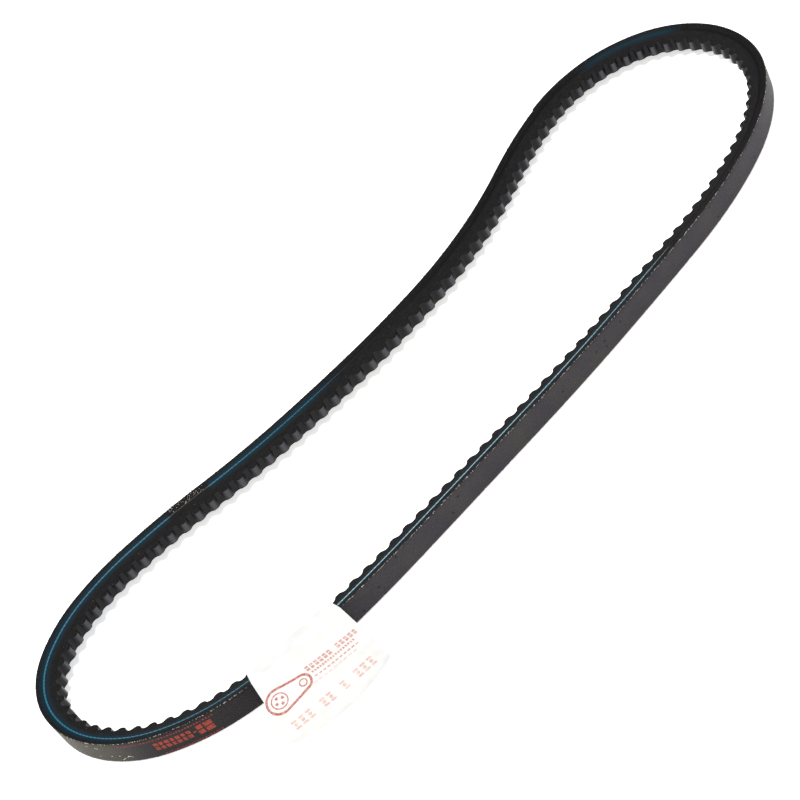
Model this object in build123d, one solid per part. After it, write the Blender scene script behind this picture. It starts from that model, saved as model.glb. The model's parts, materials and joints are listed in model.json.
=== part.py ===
from build123d import *
import math
import os

# Raw-edge cogged V-belt lying on its side, cogs inwards, with a paper sleeve round its lower run.
# Millimetres, +Z up. The loop is drawn along its cord line, clockwise seen from above.
# Depth is measured inwards from the belt's back; a "stretch" is one length of belt between two flex points.

# Section of the belt
TOP_WIDTH = 10.6                 # width of the back, which stands upright
THICKNESS = 8.6                  # back to cog tips
FLANK_ANGLE = 20.0               # half of the 40 degree included angle
BACK_PLY = 0.5                   # rubberised fabric on the back
GUM_TOP = 2.3                    # depth where the cushion gum starts
GUM_BOTTOM = 3.5                 # depth where the cushion gum ends
CORD_DEPTH = 2.9                 # depth of the cord line, where the belt neither stretches nor shortens
CORD_DIAMETER = 0.9
CORD_PITCH = 1.6                 # spacing of the turns of cord across the belt
CORD_TURNS = 6

# Cogs
COG_COUNT = 130
COG_DEPTH = 1.85
COG_PHASE = 50.3                 # place of the first cog tip along the cord line
VALLEY_HALF = 1.5                # half width and rise of the scooped valley
VALLEY_RISE = 0.6
TIP_HALF = 1.4                   # half width and drop of the rounded tip
TIP_DROP = 0.6
CREST_HALF = 0.25                # small flat left at the crest
SHOULDER_SHIFT = 0.15            # middle point of the tip's rounding: towards the crest, and below it
SHOULDER_DROP = 0.2
SKIM = 0.02                      # a valley's cutter starts this far outside the crest
MARGIN = 1.0                     # cutters reach this far past the belt

# Paper sleeve
PAPER = 0.2
BELT_LIFT = 0.3                  # the belt lies on the sleeve's paper
SLEEVE_START = 8.0               # ends of the sleeve along the cord line
SLEEVE_END = 44.9
SLEEVE_CLEARANCE = 0.45
SLEEVE_REACH = 23.5              # how far the folded front edge lies out from the back
SLEEVE_FOLD = 0.5                # height of the folded front edge

# Flex points: a linkage that is its own mirror through CENTRE, so it opens and closes without binding
CENTRE = (43.0, -5.0)
FLEX_A0 = (-48.5, 38.0)
FLEX_A1 = (91.5, 43.0)
FLEX_A2 = (177.5, 37.0)
FLEX_LIMIT = 5.0                 # degrees each way at an end flex point; the middle ones turn twice as far
FLEX_SPARE = 0.5                 # degrees of room beyond the limit at each flex point
KERF = 0.06                      # gap at the cord line between two stretches
FLAT_RUN = 40.0                  # length of the straight stretch of the lower run
STRAIGHT = 1e-6                  # a turn or a change of heading below this counts as none


def opposite(point):
    """The flex point on the other side of the centre."""
    return (2 * CENTRE[0] - point[0], 2 * CENTRE[1] - point[1])


# Stations of the cord line: x, y, heading in degrees. Two tangent arcs join each station to the next.
FLAT_START = (*opposite(FLEX_A1), 176.5)
FLAT_END = (
    FLAT_START[0] + FLAT_RUN * math.cos(math.radians(FLAT_START[2])),
    FLAT_START[1] + FLAT_RUN * math.sin(math.radians(FLAT_START[2])),
    FLAT_START[2],
)
STRETCHES = {
    "bend_left_lower": [
        (*opposite(FLEX_A2), 173.5),
        (-113.5, -44.0, 169.0),
        (-165.0, -21.5, 138.0),
    ],
    "bend_left_upper": [
        (-181.0, 23.5, 78.5),
        (-165.0, 46.5, 31.0),
        (-121.0, 53.5, -7.5),
    ],
    "run_upper_left": [
        (*FLEX_A0, -9.0),
        (25.0, 31.5, 0.0),
    ],
    "run_upper_right": [
        (*FLEX_A1, 19.5),
        (131.5, 52.5, 6.0),
    ],
    "bend_right": [
        (*FLEX_A2, -47.5),
        (188.0, 3.5, -97.0),
        (166.5, -33.0, -143.5),
    ],
    "run_lower_right": [
        (*opposite(FLEX_A0), -165.0),
        (86.0, -54.5, -179.0),
    ],
    "run_lower_left": [
        FLAT_START,
        FLAT_END,
    ],
}
# How far the flex point at the start of each stretch turns; the left bend's seam never moves.
END_TURN = {
    "bend_left_lower": FLEX_LIMIT,
    "bend_left_upper": 0.0,
    "run_upper_left": FLEX_LIMIT,
    "run_upper_right": 2 * FLEX_LIMIT,
    "bend_right": FLEX_LIMIT,
    "run_lower_right": FLEX_LIMIT,
    "run_lower_left": 2 * FLEX_LIMIT,
}


class Arc:
    """One piece of the cord line: an arc, or a straight line when it doesn't turn."""

    def __init__(self, start, heading, end):
        chord = end - start
        self.start = start
        self.heading = heading
        self.turn = 2 * math.remainder(math.atan2(chord.Y, chord.X) - heading, 2 * math.pi)
        self.straight = abs(self.turn) < STRAIGHT
        if self.straight:
            self.length = chord.length
        else:
            self.radius = chord.length / (2 * math.sin(self.turn / 2))
            self.length = self.radius * self.turn
            self.centre = start + self.radius * direction(heading + math.pi / 2)

    def at(self, distance, depth):
        """The point a distance along and a depth in from the back, and the heading there."""
        if self.straight:
            heading = self.heading
            point = self.start + distance * direction(heading)
        else:
            heading = self.heading + self.turn * distance / self.length
            point = self.centre + self.radius * direction(heading - math.pi / 2)
        return point + (depth - CORD_DEPTH) * direction(heading - math.pi / 2), heading


def direction(angle):
    """A unit vector in plan; the belt's inner side is a right angle clockwise of its heading."""
    return Vector(math.cos(angle), math.sin(angle), 0)


def join_stations(station, following):
    """A straight line, or two arcs that leave one station and arrive at the next along their headings."""
    start = Vector(station[0], station[1], 0)
    end = Vector(following[0], following[1], 0)
    if following == FLAT_END:
        return [Arc(start, math.radians(station[2]), end)]
    leave = direction(math.radians(station[2]))
    arrive = direction(math.radians(following[2]))
    chord = end - start
    square = 2 * (1 - leave.dot(arrive))
    linear = 2 * chord.dot(leave + arrive)
    constant = -chord.dot(chord)
    if square < STRAIGHT:
        reach = -constant / linear
    else:
        reach = (-linear + math.sqrt(linear**2 - 4 * square * constant)) / (2 * square)
    middle = (start + end + reach * (leave - arrive)) * 0.5
    first = Arc(start, math.radians(station[2]), middle)
    second = Arc(middle, first.heading + first.turn, end)
    return [first, second]


def lay_out_loop():
    """The arcs of each stretch, and where each stretch starts along the loop."""
    names = list(STRETCHES)
    arcs = {}
    starts = {}
    travelled = 0.0
    for index, name in enumerate(names):
        following = STRETCHES[names[(index + 1) % len(names)]]
        stations = STRETCHES[name] + following[:1]
        starts[name] = travelled
        arcs[name] = []
        for station, next_station in zip(stations, stations[1:]):
            arcs[name] += join_stations(station, next_station)
        travelled += sum(arc.length for arc in arcs[name])
    return arcs, starts, travelled


ARCS, STARTS, LOOP_LENGTH = lay_out_loop()
NAMES = list(STRETCHES)
COG_SPACING = LOOP_LENGTH / COG_COUNT
TAPER = math.tan(math.radians(FLANK_ANGLE))


def place(distance, depth):
    """A plan point anywhere on the loop."""
    distance %= LOOP_LENGTH
    for name in NAMES:
        for arc in ARCS[name]:
            if distance <= arc.length:
                return arc.at(distance, depth)[0]
            distance -= arc.length
    return ARCS[NAMES[0]][0].at(distance, depth)[0]


def section_slice(depth_from, depth_to):
    """Part of the belt's trapezoid between two depths: x is inwards from the cord line, y is up."""
    corners = []
    for depth, side in ((depth_from, 0), (depth_to, 0), (depth_to, 1), (depth_from, 1)):
        inset = depth * TAPER
        height = inset if side == 0 else TOP_WIDTH - inset
        corners.append((depth - CORD_DEPTH, BELT_LIFT + height))
    return make_face(Polyline(*corners, close=True))


def cord_sections():
    """The cord's turns side by side; the raw flanks cut into the outermost two."""
    middle = BELT_LIFT + TOP_WIDTH / 2
    gum = section_slice(GUM_TOP, GUM_BOTTOM)
    sections = []
    for turn in range(CORD_TURNS):
        height = middle + (turn - (CORD_TURNS - 1) / 2) * CORD_PITCH
        sections.append(gum & (Pos(0, height) * RegularPolygon(CORD_DIAMETER / 2, 6, rotation=0)))
    return sections


def run_along(arcs, section):
    """A section carried along some arcs as one solid."""
    pieces = []
    for arc in arcs:
        inwards = direction(arc.heading - math.pi / 2)
        forwards = direction(arc.heading)
        plane = Plane(origin=arc.start, x_dir=inwards, z_dir=-forwards)
        face = plane * section
        if arc.straight:
            pieces.append(extrude(face, amount=arc.length, dir=forwards))
        else:
            spin = Axis((arc.centre.X, arc.centre.Y, 0), (0, 0, math.copysign(1, arc.turn)))
            pieces.append(revolve(face, axis=spin, revolution_arc=math.degrees(abs(arc.turn))))
    solid = pieces[0]
    for piece in pieces[1:]:
        solid = solid + piece
    return solid


def prism(edges):
    """An upright prism through the whole height of the belt, from a closed plan outline."""
    outline = Wire(edges)
    return extrude(make_face(outline), amount=TOP_WIDTH + 2 * BELT_LIFT)


def valley_cutter(distance):
    """The space between two cogs: a scooped valley that rounds over into both tips."""
    floor = THICKNESS - COG_DEPTH
    shoulder = COG_SPACING / 2 - TIP_HALF
    crest = COG_SPACING / 2 - CREST_HALF
    rounding = (shoulder + crest) / 2 - SHOULDER_SHIFT
    outline = [
        (crest, THICKNESS + SKIM),
        (rounding, THICKNESS - SHOULDER_DROP),
        (shoulder, THICKNESS - TIP_DROP),
        (VALLEY_HALF, floor + VALLEY_RISE),
    ]
    left = [place(distance - offset, depth) for offset, depth in outline]
    right = [place(distance + offset, depth) for offset, depth in outline]
    left_tip = ThreePointArc(*left[:3])
    left_wall = Line(*left[2:])
    scoop = ThreePointArc(left[3], place(distance, floor), right[3])
    right_wall = Line(*right[2:])
    right_tip = ThreePointArc(*right[:3])
    closing = Polyline(
        right[0],
        place(distance + crest, THICKNESS + MARGIN),
        place(distance - crest, THICKNESS + MARGIN),
        left[0],
    )
    return prism([left_tip, left_wall, scoop, right_wall, right_tip, *closing.edges()])


def flex_gap(station, turn_limit):
    """The bow-tie gap at a flex point: closed at the cord line, open towards the back and the tips."""
    slope = math.tan(math.radians(turn_limit / 2 + FLEX_SPARE)) if turn_limit else 0.0
    origin = Vector(station[0], station[1], 0)
    heading = math.radians(station[2])
    corners = []
    for reach in (-CORD_DEPTH - MARGIN, 0, THICKNESS - CORD_DEPTH + MARGIN):
        corners.append((KERF / 2 + abs(reach) * slope, reach))
    corners += [(-along, reach) for along, reach in reversed(corners)]
    points = [origin + along * direction(heading) + reach * direction(heading - math.pi / 2)
              for along, reach in corners]
    return prism(Polyline(*points, close=True).edges())


def end_gaps(name):
    """The gaps at both ends of a stretch."""
    following = NAMES[(NAMES.index(name) + 1) % len(NAMES)]
    return [flex_gap(STRETCHES[end][0], END_TURN[end]) for end in (name, following)]


def ply(name, depth_from, depth_to):
    """One rubber or fabric layer of a stretch."""
    return run_along(ARCS[name], section_slice(depth_from, depth_to)) - end_gaps(name)


def cushion_gum(name):
    """The gum that bonds the cord, with a channel for each turn."""
    section = section_slice(GUM_TOP, GUM_BOTTOM)
    for cord in cord_sections():
        section = section - cord
    return run_along(ARCS[name], section) - end_gaps(name)


def tension_cord(name):
    """The turns of cord in a stretch, each a solid of its own."""
    gaps = end_gaps(name)
    return Compound(children=[Part() + (run_along(ARCS[name], cord) - gaps) for cord in cord_sections()])


def cog_rubber(name):
    """The compression rubber with its moulded cogs."""
    body = run_along(ARCS[name], section_slice(GUM_BOTTOM, THICKNESS))
    length = sum(arc.length for arc in ARCS[name])
    first = math.floor((STARTS[name] - COG_PHASE) / COG_SPACING) - 1
    last = math.ceil((STARTS[name] + length - COG_PHASE) / COG_SPACING) + 1
    valleys = [valley_cutter(COG_PHASE + (index + 0.5) * COG_SPACING) for index in range(first, last)]
    return body - (valleys + end_gaps(name))


def paper_sleeve():
    """A flattened paper band: under the belt, up the inner side, over the flank and down to the front fold."""
    crest = BELT_LIFT + TOP_WIDTH + SLEEVE_CLEARANCE
    tip_top = crest - THICKNESS * TAPER
    inner = THICKNESS - CORD_DEPTH + SLEEVE_CLEARANCE + PAPER
    back = -CORD_DEPTH - SLEEVE_CLEARANCE - PAPER
    corners = [
        (back - SLEEVE_REACH, 0.0),
        (inner, 0.0),
        (inner, tip_top + PAPER),
        (back + PAPER, crest + PAPER),
        (back - SLEEVE_REACH, SLEEVE_FOLD),
    ]
    outside = make_face(Polyline(*corners, close=True))
    band = outside - offset(outside, -PAPER)
    covered = []
    travelled = 0.0
    for arc in ARCS["bend_left_lower"]:
        low = max(SLEEVE_START - travelled, 0.0)
        high = min(SLEEVE_END - travelled, arc.length)
        if high > low:
            begin, heading = arc.at(low, CORD_DEPTH)
            end = arc.at(high, CORD_DEPTH)[0]
            covered.append(Arc(begin, heading, end))
        travelled += arc.length
    return run_along(covered, band)


LAYERS = {
    "back_fabric": lambda name: ply(name, 0.0, BACK_PLY),
    "top_rubber": lambda name: ply(name, BACK_PLY, GUM_TOP),
    "cushion_gum": cushion_gum,
    "tension_cord": tension_cord,
    "cog_rubber": cog_rubber,
}

parts = {"paper_sleeve": paper_sleeve()}
for stretch in NAMES:
    for layer, build in LAYERS.items():
        parts[f"{layer}_{stretch}"] = build(stretch)

# The origin is the middle of the floor rectangle under the whole belt.
extent = Compound(children=[Part() + shape for shape in parts.values()]).bounding_box()
ORIGIN = Vector(extent.center().X, extent.center().Y, extent.min.Z)

os.makedirs("parts", exist_ok=True)
for node, shape in parts.items():
    export_step(Pos(-ORIGIN) * shape, f"parts/{node}.step")
print(f"{len(parts)} nodes, loop {LOOP_LENGTH:.2f} mm along the cord, origin moved by {ORIGIN}")
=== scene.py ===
# %% [markdown]
# # A cogged V-belt with its paper sleeve
# The belt lies on its side: the fabric-covered back stands upright, the moulded cogs look inwards, and the
# raw-cut flank faces up. A white paper sleeve is folded round the near run. Every ply of the belt is
# modelled straight, as it would lie on a bench, and one small group of Geometry Nodes then bends it on to
# the loop.

# %% Load the frame
import bmesh
import bpy
import json
import math
from mathutils import Matrix, Vector

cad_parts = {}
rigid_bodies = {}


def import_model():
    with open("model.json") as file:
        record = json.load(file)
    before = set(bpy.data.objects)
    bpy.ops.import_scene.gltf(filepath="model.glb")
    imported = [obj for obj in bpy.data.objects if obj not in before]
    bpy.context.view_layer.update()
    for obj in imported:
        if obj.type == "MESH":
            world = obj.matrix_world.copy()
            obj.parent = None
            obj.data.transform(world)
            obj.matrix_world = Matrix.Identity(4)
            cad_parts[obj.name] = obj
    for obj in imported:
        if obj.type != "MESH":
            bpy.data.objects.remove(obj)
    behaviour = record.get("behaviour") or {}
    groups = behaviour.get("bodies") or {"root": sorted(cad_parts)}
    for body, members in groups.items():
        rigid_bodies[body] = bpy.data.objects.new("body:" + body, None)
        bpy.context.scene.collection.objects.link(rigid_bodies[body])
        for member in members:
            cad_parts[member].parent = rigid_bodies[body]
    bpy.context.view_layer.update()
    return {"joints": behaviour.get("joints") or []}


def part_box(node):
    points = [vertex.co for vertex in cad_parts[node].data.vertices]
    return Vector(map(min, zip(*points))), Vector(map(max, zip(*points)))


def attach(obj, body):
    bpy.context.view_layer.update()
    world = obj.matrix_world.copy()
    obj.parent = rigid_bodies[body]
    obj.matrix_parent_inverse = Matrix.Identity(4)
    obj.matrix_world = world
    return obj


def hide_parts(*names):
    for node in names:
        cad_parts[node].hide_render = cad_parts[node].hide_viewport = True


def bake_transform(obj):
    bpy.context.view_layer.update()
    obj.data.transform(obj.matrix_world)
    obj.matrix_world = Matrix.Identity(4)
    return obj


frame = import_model()
joints = {joint["name"]: joint for joint in frame["joints"]}

# %% [markdown]
# ## Helpers
# Sizes are easiest to read in millimetres, so they are written that way and multiplied by `MM`. Colours are
# written as sRGB hex values and turned to the linear values that shaders use in one place. `add` makes one
# node in any kind of tree, sets it up and links it, and hands back a reading: the output that the next node
# needs. Readings can be added, subtracted, multiplied and divided like numbers, which keeps the arithmetic
# short.

# %% Units, colours and nodes
MM = 0.001
KNEE, SLOPE, OFFSET, POWER = 0.04045, 12.92, 0.055, 2.4     # the curve of the sRGB standard


def colour(code):
    """An sRGB hex colour as linear red, green, blue and alpha."""
    shares = [int(code[place:place + 2], 16) / 255 for place in (1, 3, 5)]
    linear = [s / SLOPE if s <= KNEE else ((s + OFFSET) / (1 + OFFSET)) ** POWER for s in shares]
    return (*linear, 1.0)


class Reading:
    """An output of a node, which can be reckoned with like a number: each sign adds a Math node."""

    def __init__(self, socket):
        self.socket = socket
        self.tree = socket.id_data

    def __add__(self, other):
        return calc("ADD", self, other)

    def __sub__(self, other):
        return calc("SUBTRACT", self, other)

    def __mul__(self, other):
        return calc("MULTIPLY", self, other)

    def __truediv__(self, other):
        return calc("DIVIDE", self, other)

    def __mod__(self, other):
        return calc("FLOORED_MODULO", self, other)

    def __abs__(self):
        return calc("ABSOLUTE", self)


def add(tree, kind, inputs=None, out=0, **settings):
    """Adds a node, sets or links its inputs, and returns one of its outputs."""
    made = tree.nodes.new(kind)
    for name, value in settings.items():
        setattr(made, name, value)
    for key, value in (inputs or {}).items():
        if isinstance(value, Reading):
            tree.links.new(value.socket, made.inputs[key])
        else:
            made.inputs[key].default_value = value
    return Reading(made.outputs[out]) if len(made.outputs) else made


def calc(operation, *values):
    """One step of arithmetic on up to three values, the first of which is a reading."""
    return add(values[0].tree, "ShaderNodeMath", dict(enumerate(values)), operation=operation)


def ramp(value, start=0.0, end=1.0, low=0.0, high=1.0, **settings):
    """A value carried from the range `start` to `end` over to `low` to `high`, and held beyond the ends."""
    return add(value.tree, "ShaderNodeMapRange", {
        "Value": value, "From Min": start, "From Max": end, "To Min": low, "To Max": high}, **settings)


def split(vector):
    """The x, y and z of a vector."""
    node = add(vector.tree, "ShaderNodeSeparateXYZ", {0: vector}).socket.node
    return [Reading(socket) for socket in node.outputs]


def gather(x, y, z=0.0):
    """A vector from its x, y and z."""
    tree = next(part.tree for part in (x, y, z) if isinstance(part, Reading))
    return add(tree, "ShaderNodeCombineXYZ", {0: x, 1: y, 2: z})


print("1 mm is", MM, "m")

# %% [markdown]
# ## Sizes of the belt
# A narrow raw-edge belt is named by its top width and its outside length. The section is a trapezoid with
# an included angle of 40 degrees. The cords run at the cord line, where the belt neither stretches nor
# shortens when it bends, so lengths are measured there. Depths are measured inwards from the back.

# %% The section and the cogs
TOP_WIDTH = 10.6 * MM
THICKNESS = 8.6 * MM
WEDGE = 40                          # degrees between the two flanks
TAPER = math.tan(math.radians(WEDGE / 2))
BACK_PLY = 0.5 * MM                 # depth where the cover ends
GUM_TOP = 2.3 * MM                  # depths where the cushion gum starts and ends
GUM_BOTTOM = 3.5 * MM
CORD_DEPTH = 2.9 * MM
COG_COUNT = 130
COG_DEPTH = 1.85 * MM
COG_PHASE = 50.3 * MM               # one cog's tip lies here, along the cord line
rest_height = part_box("back_fabric_bend_right")[0].z
MIDDLE = rest_height + TOP_WIDTH / 2
print(f"the belt's middle plane is {MIDDLE / MM:.2f} mm up")

# %% [markdown]
# ## The line of the loop
# The loose loop takes a long kidney shape. It is drawn as a short list of stations, each a point on the
# cord line and the heading there in degrees, clockwise seen from above. Two tangent arcs join each station
# to the next, as a draughtsman would join them with a compass. The first flex point is a joint of the
# frame, which ties the list to it.

# %% Stations of the cord line
CENTRE = (43.0, -5.0)               # the linkage looks the same turned half round this point
FLAT_RUN = 40.0                     # the sleeve lies on a straight of this length


def opposite(x, y):
    """The flex point on the far side of the linkage's centre."""
    return (2 * CENTRE[0] - x, 2 * CENTRE[1] - y)


STRETCHES = {
    "bend_left_lower": [(*opposite(177.5, 37.0), 173.5), (-113.5, -44.0, 169.0), (-165.0, -21.5, 138.0)],
    "bend_left_upper": [(-181.0, 23.5, 78.5), (-165.0, 46.5, 31.0), (-121.0, 53.5, -7.5)],
    "run_upper_left": [(-48.5, 38.0, -9.0), (25.0, 31.5, 0.0)],
    "run_upper_right": [(91.5, 43.0, 19.5), (131.5, 52.5, 6.0)],
    "bend_right": [(177.5, 37.0, -47.5), (188.0, 3.5, -97.0), (166.5, -33.0, -143.5)],
    "run_lower_right": [(*opposite(-48.5, 38.0), -165.0), (86.0, -54.5, -179.0)],
    "run_lower_left": [(*opposite(91.5, 43.0), 176.5)],
}
flat_x, flat_y, flat_heading = STRETCHES["run_lower_left"][0]
STRETCHES["run_lower_left"].append((
    flat_x + FLAT_RUN * math.cos(math.radians(flat_heading)),
    flat_y + FLAT_RUN * math.sin(math.radians(flat_heading)),
    flat_heading,
))
first_flex = Vector(joints["flex_upper_left"]["pos_m"])
shift = Vector((first_flex.x, first_flex.y, 0)) - Vector((*STRETCHES["run_upper_left"][0][:2], 0)) * MM
print("stations:", sum(len(stations) for stations in STRETCHES.values()))


# %% Arcs between the stations
STRAIGHT = 1e-6                     # arcs that turn by fewer radians than this are drawn as lines


def heading_vector(angle):
    """A flat unit vector."""
    return Vector((math.cos(angle), math.sin(angle), 0))


def arc(start, angle, end):
    """One arc as start, heading, turn and length; a chord in line with the heading is a straight line."""
    chord = end - start
    turn = 2 * math.remainder(math.atan2(chord.y, chord.x) - angle, 2 * math.pi)
    length = chord.length if abs(turn) < STRAIGHT else chord.length * turn / (2 * math.sin(turn / 2))
    return {"start": start, "angle": angle, "turn": turn, "length": length, "end": end}


def join(station, following):
    """The two arcs from one station to the next."""
    start, end = (Vector((*place[:2], 0)) * MM + shift for place in (station, following))
    leave, arrive = (heading_vector(math.radians(place[2])) for place in (station, following))
    chord = end - start
    square = 2 * (1 - leave.dot(arrive))
    linear = 2 * chord.dot(leave + arrive)
    constant = -chord.dot(chord)
    reach = -constant / linear
    if square > STRAIGHT**2:
        reach = (-linear + math.sqrt(linear**2 - 4 * square * constant)) / (2 * square)
    middle = (start + end + reach * (leave - arrive)) / 2
    first = arc(start, math.radians(station[2]), middle)
    return [first, arc(middle, first["angle"] + first["turn"], end)]


names = list(STRETCHES)
arcs = []
stretch_start = {}
for index, name in enumerate(names):
    stretch_start[name] = sum(one["length"] for one in arcs)
    stations = STRETCHES[name] + STRETCHES[names[(index + 1) % len(names)]][:1]
    for station, following in zip(stations, stations[1:]):
        arcs += join(station, following)
LOOP = sum(one["length"] for one in arcs)
COG_SPACING = LOOP / COG_COUNT
print(f"the loop is {LOOP / MM:.1f} mm along the cord, with a cog every {COG_SPACING / MM:.2f} mm")

# %% [markdown]
# ## The guide curve
# A Bezier curve can follow each arc almost exactly: its handles lie along the headings, and their length
# comes from the arc's turn. Geometry Nodes can then ask the curve for the point and the direction at any
# length.

# %% Draw the guide curve
CURVE_STEPS = 48                    # straight steps that stand for each arc

guide_data = bpy.data.curves.new("belt_line", "CURVE")
guide_data.dimensions = "3D"
guide_data.resolution_u = CURVE_STEPS
spline = guide_data.splines.new("BEZIER")
spline.bezier_points.add(len(arcs) - 1)
spline.use_cyclic_u = True
for point, ahead, behind in zip(spline.bezier_points, arcs, [arcs[-1], *arcs[:-1]]):
    point.co = ahead["start"]
    point.handle_left_type = point.handle_right_type = "FREE"
    for side, one, way in (("handle_right", ahead, 1), ("handle_left", behind, -1)):
        quarter = one["turn"] / 4
        share = 1 / 3 if abs(quarter) < STRAIGHT else 2 * math.tan(quarter) / (3 * math.sin(2 * quarter))
        reach = share * (one["end"] - one["start"]).length
        setattr(point, side, point.co + way * reach * heading_vector(ahead["angle"]))
guide = bpy.data.objects.new("belt_line", guide_data)
bpy.context.scene.collection.objects.link(guide)
guide.hide_render = True
print(f"guide curve: {sum(s.calc_length() for s in guide_data.splines) / MM:.1f} mm")


def point_at(along, depth, across):
    """A point of the belt in the frame: along the cord line, in from the back, up from the middle plane."""
    along %= LOOP
    for one in arcs:
        if along <= one["length"]:
            break
        along -= one["length"]
    angle = one["angle"] + one["turn"] * along / one["length"]
    if abs(one["turn"]) < STRAIGHT:
        spot = one["start"] + along * heading_vector(one["angle"])
    else:
        radius = one["length"] / one["turn"]
        spot = one["start"] + radius * (heading_vector(one["angle"] + math.pi / 2)
                                        + heading_vector(angle - math.pi / 2))
    inwards = heading_vector(angle - math.pi / 2)
    return spot + (depth - CORD_DEPTH) * inwards + Vector((0, 0, MIDDLE + across))


# %% [markdown]
# ## Bending a straight piece on to the loop
# A straight piece has x along the belt, y in from the back and z across it. This group looks up the guide
# curve at the length x, steps sideways by y and up by z. It keeps the straight coordinates as the attribute
# `belt`, because weave, cut marks and print follow the belt and not the room. Inwards is to the right of
# along, so the mapping mirrors the piece, and its faces are flipped back at the end.

# %% The bending group
INTERFACE = {"Geometry": "NodeSocketGeometry", "Float": "NodeSocketFloat", "Int": "NodeSocketInt",
             "Object": "NodeSocketObject", "Material": "NodeSocketMaterial"}


def new_tree(title, sockets):
    """A geometry tree with a geometry output and named inputs, and the readings of those inputs."""
    tree = bpy.data.node_groups.new(title, "GeometryNodeTree")
    tree.interface.new_socket("Geometry", in_out="OUTPUT", socket_type="NodeSocketGeometry")
    for label, kind, value in sockets:
        socket = tree.interface.new_socket(label, in_out="INPUT", socket_type=INTERFACE[kind])
        if value is not None:
            socket.default_value = value
    given = tree.nodes.new("NodeGroupInput")
    return tree, {socket.name: Reading(socket) for socket in given.outputs if socket.name}


bending, given = new_tree("bend on to the loop", [
    ("Geometry", "Geometry", None), ("Line", "Object", None), ("Cord depth", "Float", CORD_DEPTH),
    ("Middle", "Float", MIDDLE)])
straight = add(bending, "GeometryNodeInputPosition")
along, inwards, across = split(straight)
line = add(bending, "GeometryNodeObjectInfo", {"Object": given["Line"]}, out="Geometry")
wrapped = along % add(bending, "GeometryNodeCurveLength", {0: line})
spot = add(bending, "GeometryNodeSampleCurve", {"Curves": line, "Length": wrapped}, out="Position",
           mode="LENGTH", use_all_curves=True)
ahead_x, ahead_y, _ = split(Reading(spot.socket.node.outputs["Tangent"]))
sideways = gather(ahead_y, ahead_x * -1.0)
step = inwards - given["Cord depth"]
stepped = add(bending, "ShaderNodeVectorMath", {0: sideways, "Scale": step}, operation="SCALE")
upwards = gather(0.0, 0.0, across + given["Middle"])
placed = add(bending, "ShaderNodeVectorMath", {0: spot, 1: stepped})
placed = add(bending, "ShaderNodeVectorMath", {0: placed, 1: upwards})
kept = add(bending, "GeometryNodeStoreNamedAttribute", {
    "Geometry": given["Geometry"], "Name": "belt", "Value": straight},
    data_type="FLOAT_VECTOR", domain="POINT")
moved = add(bending, "GeometryNodeSetPosition", {"Geometry": kept, "Position": placed})
outward = add(bending, "GeometryNodeFlipFaces", {"Mesh": moved})
add(bending, "NodeGroupOutput", {"Geometry": outward})


def lay(tree, geometry, given):
    """Ends a tree: bends its straight geometry on to the loop, makes it one mesh and sets its material."""
    bent = add(tree, "GeometryNodeGroup", {"Geometry": geometry, "Line": given["Line"]}, node_tree=bending)
    whole = add(tree, "GeometryNodeRealizeInstances", {"Geometry": bent})
    coated = add(tree, "GeometryNodeSetMaterial", {"Geometry": whole, "Material": given["Finish"]})
    add(tree, "NodeGroupOutput", {"Geometry": coated})


print("bending group:", len(bending.nodes), "nodes")


# %% Run a tree and keep its mesh
SHARP = 40                          # edges that turn by more degrees than this stay sharp


def grow(label, tree, settings, mesh=None):
    """Runs a tree on an object and keeps the result as a plain mesh object at the origin."""
    carrier = bpy.data.objects.new(label + "_carrier", mesh or bpy.data.meshes.new(label + "_seed"))
    bpy.context.scene.collection.objects.link(carrier)
    modifier = carrier.modifiers.new("grow", "NODES")
    modifier.node_group = tree
    for item in tree.interface.items_tree:
        if item.in_out == "INPUT" and item.name in settings:
            modifier[item.identifier] = settings[item.name]
    bpy.context.view_layer.update()
    evaluated = carrier.evaluated_get(bpy.context.evaluated_depsgraph_get())
    result = bpy.data.meshes.new_from_object(evaluated)
    result.name = label
    result.shade_smooth()
    result.set_sharp_from_angle(angle=math.radians(SHARP))
    carrier.modifiers.remove(modifier)
    bpy.data.objects.remove(carrier)
    piece = bpy.data.objects.new(label, result)
    bpy.context.scene.collection.objects.link(piece)
    return piece


# %% [markdown]
# ## One ply of the belt
# On the real belt each ply is a sheet of rubber or rubberised fabric, cured together on a drum, and a wheel
# then grinds the flanks to the wedge. One tree serves all four plies: a box with many small faces is mapped
# on to the wedge section. Its width at any depth follows from the top width and the taper. A cog depth
# above zero turns its inner face into the moulded wave, and a groove lets the flank sink at the cord line.

# %% The ply tree
RIM = 1.55                          # higher makes a cog's sides steeper and its tip flatter
LAP_RISE = 0.6 * MM                 # length over which the lap's cut end rises


def cog_wave(along, spacing, phase):
    """1 at a cog's tip and 0 in a valley, with rounded tips and scooped valleys."""
    wave = calc("COSINE", (along - phase) / spacing * (2 * math.pi))
    return ramp(calc("TANH", wave * RIM), -math.tanh(RIM), math.tanh(RIM))


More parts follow.
